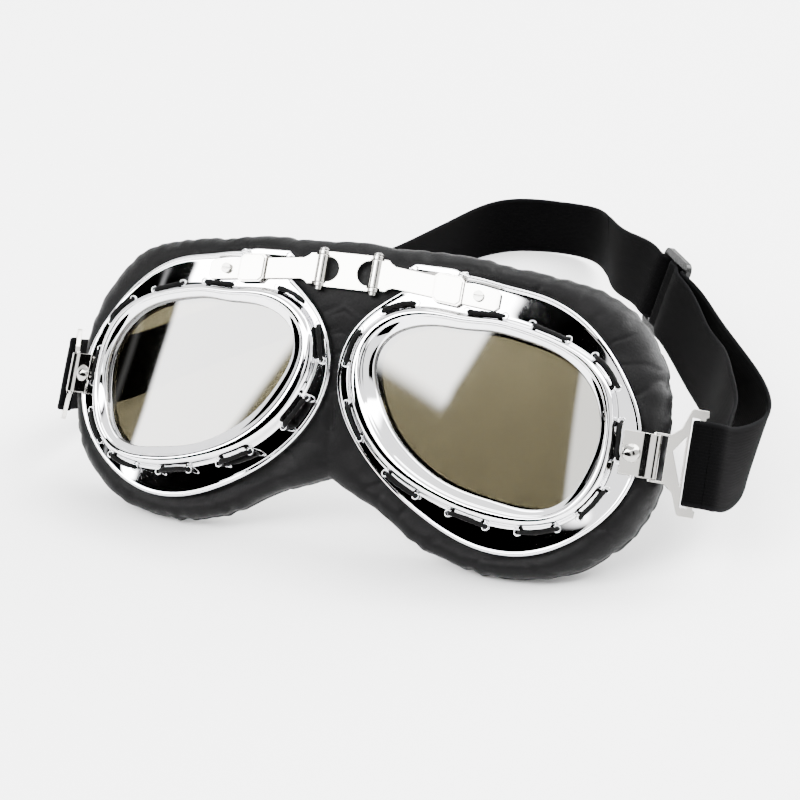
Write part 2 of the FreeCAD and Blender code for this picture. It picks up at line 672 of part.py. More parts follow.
def strap_line():
    """The outer strap in one run: right buckle, round to the slider, round the back, left buckle."""
    start = bar_middle() + LOOP_END + SOFT_GAP + 0.2
    half = SLIDER_LENGTH / 2
    rows = [
        buckle_point(start, -LOOP_REACH),
        buckle_point(start + 3.0, -LOOP_REACH + 0.9),
        buckle_point(start + 5.2, -LOOP_REACH + 3.4),
        (119.6, 17.5, -24.4, 0.06, 0.46, 0.88),
        (121.9, 35.0, -28.0, 0.20, 0.26, 0.94),
        (118.0, 53.0, -28.3, 0.28, 0.11, 0.95),
        (109.5, 71.5, -28.5, 0.25, 0.15, 0.96),
        (100.0, 89.0, -28.8, 0.25, 0.13, 0.96),
        (90.5, 105.5, -28.0, 0.25, 0.13, 0.95),
    ]
    weave = [(half + 4.0, LAYER), (half - 0.6, LAYER + 0.3), (half - 2.2, 1.7), (half - 3.3, 0.5),
             (half - 4.0, -1.2), (half - 5.6, -2.9), (2.2, -3.5), (0.0, -3.5)]
    rows += [slider_point(along, inside) for along, inside in weave]
    rows += [slider_point(-along, inside) for along, inside in weave[-2::-1]]
    rows += [
        (47.5, 164.5, -27.5, 0.13, 0.23, 0.96),
        (33.0, 195.0, -34.0, -0.03, 0.21, 0.98),
        (10.0, 226.5, -41.2, -0.02, -0.03, 1.0),
        (-20.0, 226.5, -41.8, -0.02, -0.02, 1.0),
        (-40.0, 196.0, -42.0, 0.14, -0.10, 0.98),
        (-52.0, 163.5, -42.0, 0.15, -0.09, 0.98),
        (-69.0, 133.5, -42.0, 0.12, -0.07, 0.99),
        (-87.0, 104.0, -42.0, 0.10, -0.05, 0.99),
        (-102.0, 76.0, -41.6, 0.08, 0.03, 0.99),
        (-107.8, 50.0, -38.0, 0.08, 0.16, 0.98),
        (-111.0, 33.0, -33.0, 0.07, 0.30, 0.95),
        (-111.6, 21.5, -27.8, 0.05, 0.42, 0.90),
        mirror_station(buckle_point(start + 3.0, -LOOP_REACH + 0.5, LEFT_FOLD)),
        mirror_station(buckle_point(start, -LOOP_REACH, LEFT_FOLD)),
    ]
    return rows


OUTER_LAST = 24             # the first of the straight stations past the slider
REAR_LAST = 31


def strap_outer():
    """From the right buckle out, round and back through the slider."""
    return ribbon(strap_line(), 0, OUTER_LAST)


def strap_rear():
    """Round the back, standing on its lower edge."""
    return ribbon(strap_line(), OUTER_LAST, REAR_LAST)


def strap_left():
    """From the back to the left buckle."""
    return ribbon(strap_line(), REAR_LAST)


def strap_inner():
    """Inner layer from behind the right buckle's bar back to the slider."""
    start = bar_middle() + LOOP_END + SOFT_GAP + 0.2
    rows = [
        buckle_point(start + 0.3, LOOP_REACH),
        buckle_point(start + 2.8, LOOP_REACH + 0.7),
        buckle_point(start + 4.6, LOOP_REACH + 3.2),
        (115.4, 18.5, -23.0, 0.04, 0.46, 0.88),
        (114.0, 30.0, -23.0, 0.10, 0.34, 0.93),
        (109.0, 47.5, -22.3, 0.17, 0.21, 0.96),
        (101.0, 73.0, -26.0, 0.17, 0.21, 0.96),
        (92.0, 92.0, -28.0, 0.18, 0.16, 0.97),
        slider_point(SLIDER_LENGTH / 2 + 8.0, LAYER + STRAP_THICKNESS + 2.4),
        slider_point(SLIDER_LENGTH / 2, LAYER + STRAP_THICKNESS + 1.4),
        slider_point(FOLD_END + SOFT_GAP + 2.4, LAYER + 1.0),
        slider_point(FOLD_END + SOFT_GAP, LAYER),
    ]
    return ribbon(rows)


# ---------------------------------------------------------------- assembly

def settled(shape):
    out = shape.copy()
    out.translate(SHIFT)
    return out


def eye_unit():
    """Right-hand pieces, each in the upright frame; the left-hand ones mirror them."""
    return {
        "eye_frame": eye_frame(),
        "lens": lens(),
        "lens_gasket": gasket(),
        "lens_retainer": retainer(),
        "lacing": lacing(),
        "pad": pad_side(),
        "face_liner": liner(),
        "hinge_pin": hinge_pin(),
        "bridge_arm": bridge_arm(),
        "arm_keeper": keeper(),
        "arm_screw": screw(),
        "arm_nut": screw_nut(),
        "temple_tab": temple_tab(),
        "tab_rivet": rivet(),
        "rivet_washer": rivet_washer(),
        "buckle": buckle(),
        "strap_loop": strap_loop(),
    }


def build():
    nodes = {}
    for name, shape in eye_unit().items():
        nodes[name + "_right"] = settled(lean_back(shape))
        left = folded_back(shape) if name in ("buckle", "strap_loop") else shape
        nodes[name + "_left"] = settled(lean_back(mirrored(left)))
    nodes["bridge_link"] = settled(lean_back(bridge_link()))
    nodes["nose_pad"] = settled(lean_back(nose_pad()))
    nodes["slider"] = settled(slider())
    nodes["slider_fold"] = settled(strap_fold())
    nodes["strap_outer"] = settled(strap_outer())
    nodes["strap_rear"] = settled(strap_rear())
    nodes["strap_left"] = settled(strap_left())
    nodes["strap_inner"] = settled(strap_inner())
    return nodes


os.makedirs("parts", exist_ok=True)
whole = FreeCAD.BoundBox()
for node, shape in build().items():
    shape.exportStep("parts/" + node + ".step")
    whole.add(shape.BoundBox)
    print(node, "valid", shape.isValid(), "solids", len(shape.Solids), "volume", round(shape.Volume, 1))
print("box", [round(v, 2) for v in (whole.XMin, whole.XMax, whole.YMin, whole.YMax, whole.ZMin, whole.ZMax)])
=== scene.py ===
import json
import math

import bmesh
import bpy
import numpy as np
from mathutils import Matrix, Vector, noise


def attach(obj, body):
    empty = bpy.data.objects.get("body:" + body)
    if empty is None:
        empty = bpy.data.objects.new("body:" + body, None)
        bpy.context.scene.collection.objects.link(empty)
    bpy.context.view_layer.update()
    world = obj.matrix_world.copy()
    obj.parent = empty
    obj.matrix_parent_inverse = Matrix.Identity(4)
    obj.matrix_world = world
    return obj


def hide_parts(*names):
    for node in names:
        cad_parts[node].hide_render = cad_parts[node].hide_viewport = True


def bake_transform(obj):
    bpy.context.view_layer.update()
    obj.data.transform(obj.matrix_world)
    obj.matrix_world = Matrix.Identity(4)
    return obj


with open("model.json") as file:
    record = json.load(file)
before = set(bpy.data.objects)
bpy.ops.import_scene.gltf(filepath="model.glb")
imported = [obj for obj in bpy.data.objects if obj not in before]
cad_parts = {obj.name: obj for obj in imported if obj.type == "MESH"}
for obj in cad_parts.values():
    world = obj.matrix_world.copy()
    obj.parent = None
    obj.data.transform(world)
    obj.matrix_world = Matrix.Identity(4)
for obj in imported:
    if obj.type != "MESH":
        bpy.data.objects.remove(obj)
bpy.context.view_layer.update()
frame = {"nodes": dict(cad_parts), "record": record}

# ---------------------------------------------------------------- driving dimensions, millimetres
# The pieces are drawn upright (X to the viewer's right, Y away, Z up), leaned back and set down.
LEAN = math.radians(35.0)
SET_DOWN = np.array((-6.2, -103.68, 54.66))
WRAP_RADIUS = 380.0         # both eye frames follow one upright cylinder
FACE_Y = -3.0
CENTRE = (48.0, -6.0)       # middle of the right lens
# Radii and depths are at sixteen even turns round the lens, from its outer side upwards.
LENS_RADII = (34.8, 32.1, 27.5, 23.9, 23.2, 24.6, 31.2, 36.2, 31.5, 27.0, 24.3, 23.6, 24.6, 28.4, 35.2, 35.4)
FOOT_RADII = (39.3, 37.9, 32.0, 28.0, 27.2, 29.5, 38.3, 43.9, 41.4, 36.4, 32.5, 30.3, 31.3, 35.3, 40.4, 41.4)
EDGE_RADII = (46.3, 42.3, 40.1, 38.6, 37.9, 41.8, 43.5, 47.0, 46.2, 41.4, 37.9, 37.4, 40.2, 43.9, 46.1, 47.7)
PAD_RADII = (51.8, 52.6, 51.7, 46.6, 44.6, 50.0, 66.0, 58.0, 54.0, 53.5, 46.3, 45.2, 47.0, 50.5, 53.8, 54.2)
MASK_RADII = PAD_RADII[:7] + (88.0,) + PAD_RADII[8:]    # the mask runs level across the nose
SETBACK = (1.2, 1.4, 1.5, 1.2, 0.5, -0.4, -0.6, 0.0, 2.6, 6.0, 8.0, 8.7, 8.5, 6.9, 4.2, 1.9)
PAD_DEPTH = 17.0            # from the face cylinder to the back of the mask, before the setback's share
ARCH = 3.2                  # half width that the lower edge's arch takes up at the nose
LACE_RADIUS = 0.75
LACE_SIDES = 10
LACE_STARTS = (0.053, 0.139, 0.222, 0.335, 0.417, 0.516, 0.620, 0.714, 0.802, 0.879, 0.965)
LACE_STITCH = 0.048         # share of the line round the bezel that one stitch covers
TAB_TURN = math.radians(18.0)       # how far the tab turns back from pointing straight outwards
RIVET = np.array((92.1, 8.35, -11.8))
TAB_OUT = 6.5               # from the rivet to the round bar that the buckle turns on
LEFT_FOLD = math.radians(33.0)      # how far back the left buckle lies
BAR_MIDDLE = TAB_OUT + 12.45        # from the rivet to the buckle's outer bar
ARM_LIMITS = (10.0, 49.5)   # where the bridge's arm lies on the eye frame
ARM_START = (9.0, 30.0)
ARM_FALL = 0.09             # how far the arm falls for each step outwards
ARM_CLEAR = 4.1             # half height of the strip kept free for the arm
SHOULDER = ((19.3, 25.9), (19.3, 32.9), (21.2, 34.5), (33.0, 34.3), (39.0, 32.8), (34.0, 30.5), (27.0, 29.0),
            (22.0, 25.9))
LOOP_REACH = 1.65           # from the outer bar's middle to the strap's middle
LOOP_START = BAR_MIDDLE + 2.95      # where the strap leaves the turn round the outer bar
STRAP_WIDTH = 25.0
STRAP_THICKNESS = 1.2
SLIDER_AT = np.array((71.0, 134.5, -25.0))
SLIDER_RUN = np.array((0.59, -0.81, -0.03))
SLIDER_UP = np.array((0.24, 0.20, 0.95))
LAYER = 1.8                 # strap's middle, beside a bar of the slider
SKY_LEVEL = 2.3
SOFTBOX = 22.0


# ---------------------------------------------------------------- camera
view_back = Vector((0.35885971, -0.80774517, 0.46772583))
view_right = Vector((0.92425163, 0.37746606, -0.05725637))
view_up = view_back.cross(view_right)
camera = bpy.data.objects.new("camera", bpy.data.cameras.new("camera"))
camera.data.lens = 67.5
camera.data.sensor_width = 36.0
camera.data.clip_start = 0.01
turn = Matrix((view_right, view_up, view_back)).transposed().to_4x4()
camera.matrix_world = Matrix.Translation((0.177658, -0.470936, 0.259751)) @ turn
bpy.context.collection.objects.link(camera)
bpy.context.scene.camera = camera


# ---------------------------------------------------------------- placing
def leaned(points):
    """Upright millimetres to leaned-back millimetres."""
    p = np.asarray(points, float)
    c, s = math.cos(LEAN), math.sin(LEAN)
    return np.stack([p[..., 0], p[..., 1] * c + p[..., 2] * s, -p[..., 1] * s + p[..., 2] * c], -1)


def settled(points):
    """Leaned-back millimetres to the frame's metres."""
    return (np.asarray(points, float) + SET_DOWN) / 1000.0


def placed(points):
    """Upright millimetres to the frame's metres."""
    return settled(leaned(points))


def unplaced(points):
    """The frame's metres back to upright millimetres."""
    p = np.asarray(points, float) * 1000.0 - SET_DOWN
    c, s = math.cos(LEAN), math.sin(LEAN)
    return np.stack([p[..., 0], p[..., 1] * c - p[..., 2] * s, p[..., 1] * s + p[..., 2] * c], -1)


def face_y(x):
    """Depth of the cylinder that the eye frames follow."""
    return FACE_Y + WRAP_RADIUS - np.sqrt(WRAP_RADIUS ** 2 - np.asarray(x, float) ** 2)


def around(values, count):
    """Smooth periodic curve through evenly spaced values, sampled count times."""
    v = np.asarray(values, float)
    n = len(v)
    grid = np.arange(n)
    matrix = np.zeros((n, n))
    matrix[grid, grid] = 4
    matrix[grid, (grid + 1) % n] = 1
    matrix[grid, (grid - 1) % n] = 1
    slopes = np.linalg.solve(matrix, 3 * (np.roll(v, -1) - np.roll(v, 1)))
    t = np.arange(count) * n / count
    i = np.floor(t).astype(int) % n
    f = t - np.floor(t)
    j = (i + 1) % n
    return (v[i] * (1 + 2 * f) * (1 - f) ** 2 + slopes[i] * f * (1 - f) ** 2
            + v[j] * f * f * (3 - 2 * f) + slopes[j] * f * f * (f - 1))


def between(a, b, share):
    """Values that share of the way from a to b."""
    return [p + (q - p) * share for p, q in zip(a, b)]


def cubic(x, y, at):
    """Natural cubic spline through y at x, valued at the places at."""
    n = len(x)
    h = np.diff(x)
    matrix = np.zeros((n, n))
    side = np.zeros((n, y.shape[1]))
    matrix[0, 0] = matrix[-1, -1] = 1
    for i in range(1, n - 1):
        matrix[i, i - 1:i + 2] = h[i - 1], 2 * (h[i - 1] + h[i]), h[i]
        side[i] = 3 * ((y[i + 1] - y[i]) / h[i] - (y[i] - y[i - 1]) / h[i - 1])
    c = np.linalg.solve(matrix, side)
    k = np.clip(np.searchsorted(x, at, side="right") - 1, 0, n - 2)
    f = (at - x[k])[:, None]
    hk = h[k][:, None]
    b = (y[k + 1] - y[k]) / hk - hk * (2 * c[k] + c[k + 1]) / 3
    d = (c[k + 1] - c[k]) / (3 * hk)
    return y[k] + b * f + c[k] * f ** 2 + d * f ** 3


# ---------------------------------------------------------------- mesh helpers
def mesh_object(name, points, faces):
    mesh = bpy.data.meshes.new(name)
    mesh.from_pydata([tuple(p) for p in points], [], faces)
    mesh.validate()
    work = bmesh.new()
    work.from_mesh(mesh)
    bmesh.ops.recalc_face_normals(work, faces=work.faces)
    work.to_mesh(mesh)
    work.free()
    mesh.polygons.foreach_set("use_smooth", [True] * len(mesh.polygons))
    obj = bpy.data.objects.new(name, mesh)
    bpy.context.collection.objects.link(obj)
    return obj


def points_of(obj):
    flat = np.empty(len(obj.data.vertices) * 3)
    obj.data.vertices.foreach_get("co", flat)
    return flat.reshape(-1, 3)


def normals_of(obj):
    return np.array([tuple(n.vector) for n in obj.data.vertex_normals])


def move_points(obj, points):
    obj.data.vertices.foreach_set("co", np.asarray(points).ravel())
    obj.data.update()


def grid_faces(rows, columns, wrap_rows, wrap_columns):
    """Quads between neighbours in rows of points, closed round in either direction."""
    faces = []
    for i in range(rows if wrap_rows else rows - 1):
        for j in range(columns if wrap_columns else columns - 1):
            a, b = i * columns + j, i * columns + (j + 1) % columns
            c, d = ((i + 1) % rows) * columns + (j + 1) % columns, ((i + 1) % rows) * columns + j
            faces.append((a, b, c, d))
    return faces


def uv_from(obj, values):
    """UV map from one (u, v) per vertex."""
    layer = obj.data.uv_layers.new(name="UVMap")
    for loop in obj.data.loops:
        layer.data[loop.index].uv = values[loop.vertex_index]


def subdivide(obj, levels):
    mod = obj.modifiers.new("round", "SUBSURF")
    mod.levels = mod.render_levels = levels
    apply_all(obj)


def apply_all(obj):
    """Makes the modifiers' result the object's own mesh."""
    deps = bpy.context.evaluated_depsgraph_get()
    mesh = bpy.data.meshes.new_from_object(obj.evaluated_get(deps))
    obj.modifiers.clear()
    old = obj.data
    obj.data = mesh
    bpy.data.meshes.remove(old)
    mesh.name = obj.name


def paint(obj, material):
    obj.data.materials.clear()
    obj.data.materials.append(material)
    return obj


def ring_points(radii, depth, count, side):
    """One closed line round the lens; side is 1 for the right and -1 for the left."""
    r = around(radii, count)
    d = around(depth, count)
    a = np.arange(count) * 2 * math.pi / count
    x = CENTRE[0] + r * np.cos(a)
    z = CENTRE[1] + r * np.sin(a)
    return np.stack([x * side, face_y(x) + d, z], -1)


# ---------------------------------------------------------------- materials
def material(name, colour, roughness, metallic=0.0):
    mat = bpy.data.materials.new(name)
    mat.use_nodes = True
    shader = mat.node_tree.nodes["Principled BSDF"]
    shader.inputs["Base Color"].default_value = (*colour, 1)
    shader.inputs["Roughness"].default_value = roughness
    shader.inputs["Metallic"].default_value = metallic
    return mat, mat.node_tree.nodes, mat.node_tree.links, shader


def object_noise(nodes, links, scale, detail):
    where = nodes.new("ShaderNodeTexCoord")
    tex = nodes.new("ShaderNodeTexNoise")
    tex.inputs["Scale"].default_value = scale
    tex.inputs["Detail"].default_value = detail
    tex.inputs["Roughness"].default_value = 0.55
    links.new(where.outputs["Object"], tex.inputs["Vector"])
    return tex


def ranged(nodes, links, source, low, high, to_low, to_high):
    """Maps low..high to to_low..to_high."""
    node = nodes.new("ShaderNodeMapRange")
    node.inputs["From Min"].default_value = low
    node.inputs["From Max"].default_value = high
    node.inputs["To Min"].default_value = to_low
    node.inputs["To Max"].default_value = to_high
    links.new(source, node.inputs["Value"])
    return node.outputs["Result"]


def blended(nodes, links, factor, a, b):
    node = nodes.new("ShaderNodeMix")
    node.data_type = "RGBA"
    node.inputs[6].default_value = (*a, 1)
    node.inputs[7].default_value = (*b, 1)
    links.new(factor, node.inputs[0])
    return node.outputs[2]


def bumped(nodes, links, shader, height, strength, distance, rounding=0.0):
    """Bump from height, over edges that look rounded where rounding is given."""
    bump = nodes.new("ShaderNodeBump")
    bump.inputs["Strength"].default_value = strength
    bump.inputs["Distance"].default_value = distance
    links.new(height, bump.inputs["Height"])
    if rounding:
        bevel = nodes.new("ShaderNodeBevel")
        bevel.inputs["Radius"].default_value = rounding
        links.new(bevel.outputs["Normal"], bump.inputs["Normal"])
    links.new(bump.outputs["Normal"], shader.inputs["Normal"])


def polished(name, colour, rough_low, rough_high, wave, strength, rounding=0.0):
    """Plated metal: faint waviness, and smears that change the roughness."""
    mat, nodes, links, shader = material(name, colour, rough_high, 1.0)
    smears = object_noise(nodes, links, 60, 5)
    links.new(ranged(nodes, links, smears.outputs["Fac"], 0.35, 0.7, rough_low, rough_high),
              shader.inputs["Roughness"])
    darker = tuple(c * 0.86 for c in colour)
    links.new(blended(nodes, links, smears.outputs["Fac"], darker, colour), shader.inputs["Base Color"])
    swell = object_noise(nodes, links, wave, 2)
    bumped(nodes, links, shader, swell.outputs["Fac"], strength, 0.0004, rounding)
    return mat


def grained(name, dark, light, roughness, grain, strength, distance, gloss):
    """Leather or rubber: pebbled grain over slow colour changes."""
    mat, nodes, links, shader = material(name, dark, roughness)
    slow = object_noise(nodes, links, 45, 3)
    links.new(blended(nodes, links, slow.outputs["Fac"], dark, light), shader.inputs["Base Color"])
    cells = nodes.new("ShaderNodeTexVoronoi")
    cells.feature = "SMOOTH_F1"
    cells.inputs["Scale"].default_value = grain
    where = nodes.new("ShaderNodeTexCoord")
    links.new(where.outputs["Object"], cells.inputs["Vector"])
    fine = object_noise(nodes, links, grain * 0.8, 4)
    both = nodes.new("ShaderNodeMath")
    both.operation = "MULTIPLY_ADD"
    both.inputs[1].default_value = 0.6
    links.new(fine.outputs["Fac"], both.inputs[0])
    links.new(cells.outputs["Distance"], both.inputs[2])
    links.new(ranged(nodes, links, fine.outputs["Fac"], 0.3, 0.7, roughness - 0.07, roughness + 0.08),
              shader.inputs["Roughness"])
    bumped(nodes, links, shader, both.outputs["Value"], strength, distance)
    shader.inputs["Specular IOR Level"].default_value = gloss
    return mat


chrome = polished("chrome", (0.93, 0.93, 0.95), 0.015, 0.05, 25, 0.05)
nickel = polished("nickel", (0.66, 0.645, 0.61), 0.06, 0.16, 90, 0.06, 0.00025)
steel = polished("plated_steel", (0.40, 0.395, 0.375), 0.08, 0.22, 60, 0.05, 0.0002)
leather = grained("leather", (0.0014, 0.0014, 0.0015), (0.0028, 0.0028, 0.003),
                  0.5, 1500, 0.2, 0.00022, 0.09)
lace_skin = grained("lace_leather", (0.001, 0.001, 0.001), (0.003, 0.003, 0.003),
                    0.6, 2600, 0.3, 0.0002, 0.06)
foam = grained("liner_foam", (0.004, 0.004, 0.004), (0.009, 0.009, 0.01),
               0.9, 2200, 0.7, 0.0004, 0.1)
rubber = grained("gasket_rubber", (0.002, 0.002, 0.002), (0.004, 0.004, 0.004),
                 0.6, 3000, 0.15, 0.0001, 0.1)
moulded = grained("slider_plastic", (0.002, 0.002, 0.002), (0.004, 0.004, 0.004),
                  0.3, 1800, 0.08, 0.00008, 0.25)


def webbing_material():
    """Elastic webbing: fine ribs along it, cross threads, painted shade that darkens the colour where the
    weave lies low, and a painted highlight of paler colour along both edges.
    """
    mat, nodes, links, shader = material("webbing", (0.002, 0.002, 0.002), 0.9)
    where = nodes.new("ShaderNodeTexCoord")
    split = nodes.new("ShaderNodeSeparateXYZ")
    links.new(where.outputs["UV"], split.inputs["Vector"])

    def wave(source, per_mm, phase=0.0):
        angle = nodes.new("ShaderNodeMath")
        angle.operation = "MULTIPLY_ADD"
        angle.inputs[1].default_value = per_mm * 2 * math.pi
        angle.inputs[2].default_value = phase
        links.new(source, angle.inputs[0])
        value = nodes.new("ShaderNodeMath")
        value.operation = "SINE"
        links.new(angle.outputs[0], value.inputs[0])
        return value.outputs[0]

    ribs = wave(split.outputs["Y"], 1.1)
    threads = wave(split.outputs["X"], 1.6)
    weave = nodes.new("ShaderNodeMath")
    weave.operation = "MULTIPLY"
    links.new(ribs, weave.inputs[0])
    links.new(threads, weave.inputs[1])
    height = nodes.new("ShaderNodeMath")
    height.operation = "MULTIPLY_ADD"
    height.inputs[1].default_value = 0.5
    links.new(weave.outputs[0], height.inputs[0])
    links.new(ribs, height.inputs[2])
    edge = nodes.new("ShaderNodeMath")
    edge.operation = "ABSOLUTE"
    links.new(split.outputs["Y"], edge.inputs[0])
    # painted highlight: paler colour along both edges of the strap
    edge_highlight = ranged(nodes, links, edge.outputs[0], STRAP_WIDTH / 2 - 1.4, STRAP_WIDTH / 2 - 0.2, 0, 1)
    # painted shade: the colour is darker where the weave lies low and lighter on its raised ribs
    body = blended(nodes, links, ranged(nodes, links, height.outputs[0], -1.5, 1.5, 0, 1),
                   (0.0004, 0.0004, 0.00045), (0.0010, 0.0010, 0.0011))
    pale = nodes.new("ShaderNodeMix")
    pale.data_type = "RGBA"
    pale.inputs[7].default_value = (0.003, 0.003, 0.0033, 1)
    links.new(edge_highlight, pale.inputs[0])
    links.new(body, pale.inputs[6])
    links.new(pale.outputs[2], shader.inputs["Base Color"])
    bumped(nodes, links, shader, height.outputs[0], 0.3, 0.00006)
    shader.inputs["Specular IOR Level"].default_value = 0.03
    return mat


def lens_material():
    """Smoke-brown tinted lens: most of the light is absorbed, the surface mirrors."""
    mat, nodes, links, shader = material("tinted_lens", (0.068, 0.059, 0.034), 0.01)
    smears = object_noise(nodes, links, 35, 4)
    links.new(ranged(nodes, links, smears.outputs["Fac"], 0.4, 0.75, 0.004, 0.02),
              shader.inputs["Roughness"])
    shader.inputs["Transmission Weight"].default_value = 1.0
    shader.inputs["IOR"].default_value = 1.5
    shader.inputs["Coat Weight"].default_value = 1.0
    shader.inputs["Coat IOR"].default_value = 1.9
    return mat


webbing = webbing_material()
tinted = lens_material()


# ---------------------------------------------------------------- eye frame
def pressed_flat(points):
    """Keeps upright points out of the arm's way and levels the rim where the shoulder joins."""
    free = 9.0                  # further forward than any point of the frame
    x, z = np.abs(points[:, 0]), points[:, 2]
    y = points[:, 1].copy()
    beside_arm = np.abs(z - (ARM_START[1] - ARM_FALL * (x - ARM_START[0])))
    under = (x > ARM_LIMITS[0]) & (x < ARM_LIMITS[1])
    share = np.clip((ARM_CLEAR - beside_arm) / 0.7, 0, 1) * under
    y = np.maximum(y, face_y(x) - 0.08 - (1 - share) * free)
    joint = np.clip((37.5 - x) / 2.5, 0, 1) * np.clip((x - 18.5) / 1.0, 0, 1) * (z > 24)
    y = np.maximum(y, face_y(x) - 0.5 - (1 - joint) * free)
    return np.stack([points[:, 0], y, points[:, 2]], -1)


def inset_outline(corners, step):
    """Corners moved inwards by step."""
    c = np.asarray(corners, float)
    before, after = np.roll(c, 1, 0) - c, np.roll(c, -1, 0) - c
    before /= np.linalg.norm(before, axis=1)[:, None]
    after /= np.linalg.norm(after, axis=1)[:, None]
    normal = np.stack([after[:, 1], -after[:, 0]], -1)
    other = np.stack([-before[:, 1], before[:, 0]], -1)
    middle = normal + other
    middle /= np.linalg.norm(middle, axis=1)[:, None]
    return c + middle * step / np.maximum((middle * normal).sum(1), 0.5)[:, None]


def soften_slope(obj, side, count):
    """Shades the flange, in the shell that is the first count points, nearly level with the lens."""
    upright = unplaced(points_of(obj)[:count])
    dx, dz = upright[:, 0] * side - CENTRE[0], upright[:, 2] - CENTRE[1]
    turns = np.arctan2(dz, dx) / (2 * math.pi) % 1.0
    dense = np.arange(1025) / 1024.0
    foot = np.interp(turns, dense, np.append(around(FOOT_RADII, 1024), FOOT_RADII[0]))
    edge = np.interp(turns, dense, np.append(around(EDGE_RADII, 1024), EDGE_RADII[0]))
    share = (np.hypot(dx, dz) - foot) / (edge - foot)
    flat = leaned(np.stack([upright[:, 0] / WRAP_RADIUS, -np.ones(count), np.zeros(count)], -1))
    flat /= np.linalg.norm(flat, axis=1)[:, None]
    own = normals_of(obj)
    facing = (own[:count] * flat).sum(1) > 0.3
    weight = np.clip((share - 0.04) / 0.06, 0, 1) * np.clip((0.86 - share) / 0.05, 0, 1) * facing * 0.9
    mixed = own[:count] * (1 - weight[:, None]) + flat * weight[:, None]
    own[:count] = mixed / np.linalg.norm(mixed, axis=1)[:, None]
    obj.data.normals_split_custom_set_from_vertices([tuple(n) for n in own])


def shoulder_plate(side):
    """Corner of the flange that carries the arm, with the flange's rim along its free edge."""
    raised = np.array((1, 1, 1, 1, 1, 0, 0, 0), float)
    corners, share = [], []
    for i, corner in enumerate(SHOULDER):
        following = SHOULDER[(i + 1) % len(SHOULDER)]
        for f in np.linspace(0.08, 0.92, 14):
            corners.append(between(corner, following, f))
            share.append(raised[i] + (raised[(i + 1) % len(SHOULDER)] - raised[i]) * f)
    share = np.array(share)
    rows = []
    for step, low, high in ((0.5, 0.4, 0.4), (0, 0.4, 0.4), (0, -0.4, -0.85), (0.25, -0.5, -1.25),
                            (0.8, -0.5, -1.2), (1.3, -0.5, -0.6), (1.6, -0.5, -0.5)):
        c = inset_outline(corners, step)
        depth = low + (high - low) * share
        rows.append(np.stack([c[:, 0] * side, face_y(c[:, 0]) + depth, c[:, 1]], -1))
    n = len(corners)
    faces = grid_faces(len(rows), n, False, True)
    faces.append(tuple(range(n)))
    faces.append(tuple((len(rows) - 1) * n + k for k in range(n)))
    return pressed_flat(np.concatenate(rows)), faces


def eyelet(place, side):
    """Raised ring that the lacing's hole has round it."""
    middle, thick = 0.98, 0.16
    sections, count = 6, 20
    turns = np.linspace(0, 2 * math.pi, count, endpoint=False)
    rows = []
    for k in range(sections):
        a = k * 2 * math.pi / sections
        r = middle + thick * math.cos(a)
        y = np.full(count, place[1] - thick * math.sin(a))
        rows.append(np.stack([place[0] * side + r * np.cos(turns), y, place[2] + r * np.sin(turns)], -1))
    return np.concatenate(rows), grid_faces(sections, count, True, True)


def eye_frame(side, word):
    """Flange with a rolled rim, and a stepped bezel that falls to a thin lip at the lens."""
    edge, foot, lens = EDGE_RADII, FOOT_RADII, LENS_RADII
    count = 128
    eyelet_lift = (0, -2.4, 0)

    def lifted(share, lift):
        return [s * share - lift for s in SETBACK]

    def level(lift):
        return [-lift] * len(foot)

    loops = [
        (between(edge, foot, 0.25), lifted(0.8, -1.1)),
        (between(edge, foot, 0.04), lifted(1.0, -1.1)),
        ([r + 0.05 for r in edge], lifted(1.0, -0.9)),
        ([r + 0.1 for r in edge], lifted(1.0, 0.2)),
        ([r - 0.35 for r in edge], lifted(0.97, 0.85)),
        ([r - 0.95 for r in edge], lifted(0.94, 0.8)),
        (between([r - 1.25 for r in edge], foot, 0.05), lifted(0.9, 0.1)),
        (between(edge, foot, 0.2), lifted(0.8, 0.0)),
        (between(edge, foot, 0.55), lifted(0.42, 0.05)),
        (between(edge, foot, 0.92), lifted(0.06, 0.1)),
        (foot, level(0.25)),
        (between(foot, lens, 0.05), level(0.8)),
        (between(foot, lens, 0.12), level(2.5)),
        (between(foot, lens, 0.25), level(3.25)),
        (between(foot, lens, 0.42), level(3.4)),
        (between(foot, lens, 0.55), level(3.1)),
        (between(foot, lens, 0.60), level(2.6)),
        (between(foot, lens, 0.65), level(2.45)),
        (between(foot, lens, 0.80), level(2.0)),
        (between(foot, lens, 0.95), level(1.45)),
        ([r + 0.1 for r in lens], level(1.1)),
        (lens, level(0.5)),
        ([r + 0.3 for r in lens], level(-0.15)),
    ]
    rings = [ring_points(r, d, count, side) for r, d in loops]
    shell = mesh_object("shell", np.concatenate(rings), grid_faces(len(rings), count, False, True))
    subdivide(shell, 2)
    parts = [(pressed_flat(points_of(shell)), [tuple(p.vertices) for p in shell.data.polygons])]
    bpy.data.objects.remove(shell)
    parts.append(shoulder_plate(side))
    for path in stitch_paths():
        parts += [eyelet(path[end] + eyelet_lift, side) for end in (0, -1)]
    obj = joined("frame_shell_" + word, parts)
    soften_slope(obj, side, len(parts[0][0]))
    paint(obj, chrome)
    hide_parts("eye_frame_" + word)
    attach(obj, word + "_unit")
    return obj


def lens_plate(side, word):
    """Curved lens with a ground edge."""
    count = 96
    shares = (0.08, 0.2, 0.35, 0.5, 0.65, 0.8, 0.92, 0.985, 1.0)
    outline = [r + 1.5 for r in LENS_RADII]
    rings = [ring_points([r * share for r in outline], [0.25] * 16, count, side) for share in shares]
    rings += [ring_points([r * share for r in outline], [1.95] * 16, count, side) for share in shares[::-1]]
    faces = grid_faces(len(rings), count, False, True)
    faces.append(tuple(range(count)))
    faces.append(tuple((len(rings) - 1) * count + k for k in range(count)))
    obj = mesh_object("lens_plate_" + word, placed(np.concatenate(rings)), faces)
    paint(obj, tinted)
    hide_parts("lens_" + word)
    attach(obj, word + "_unit")
    return obj


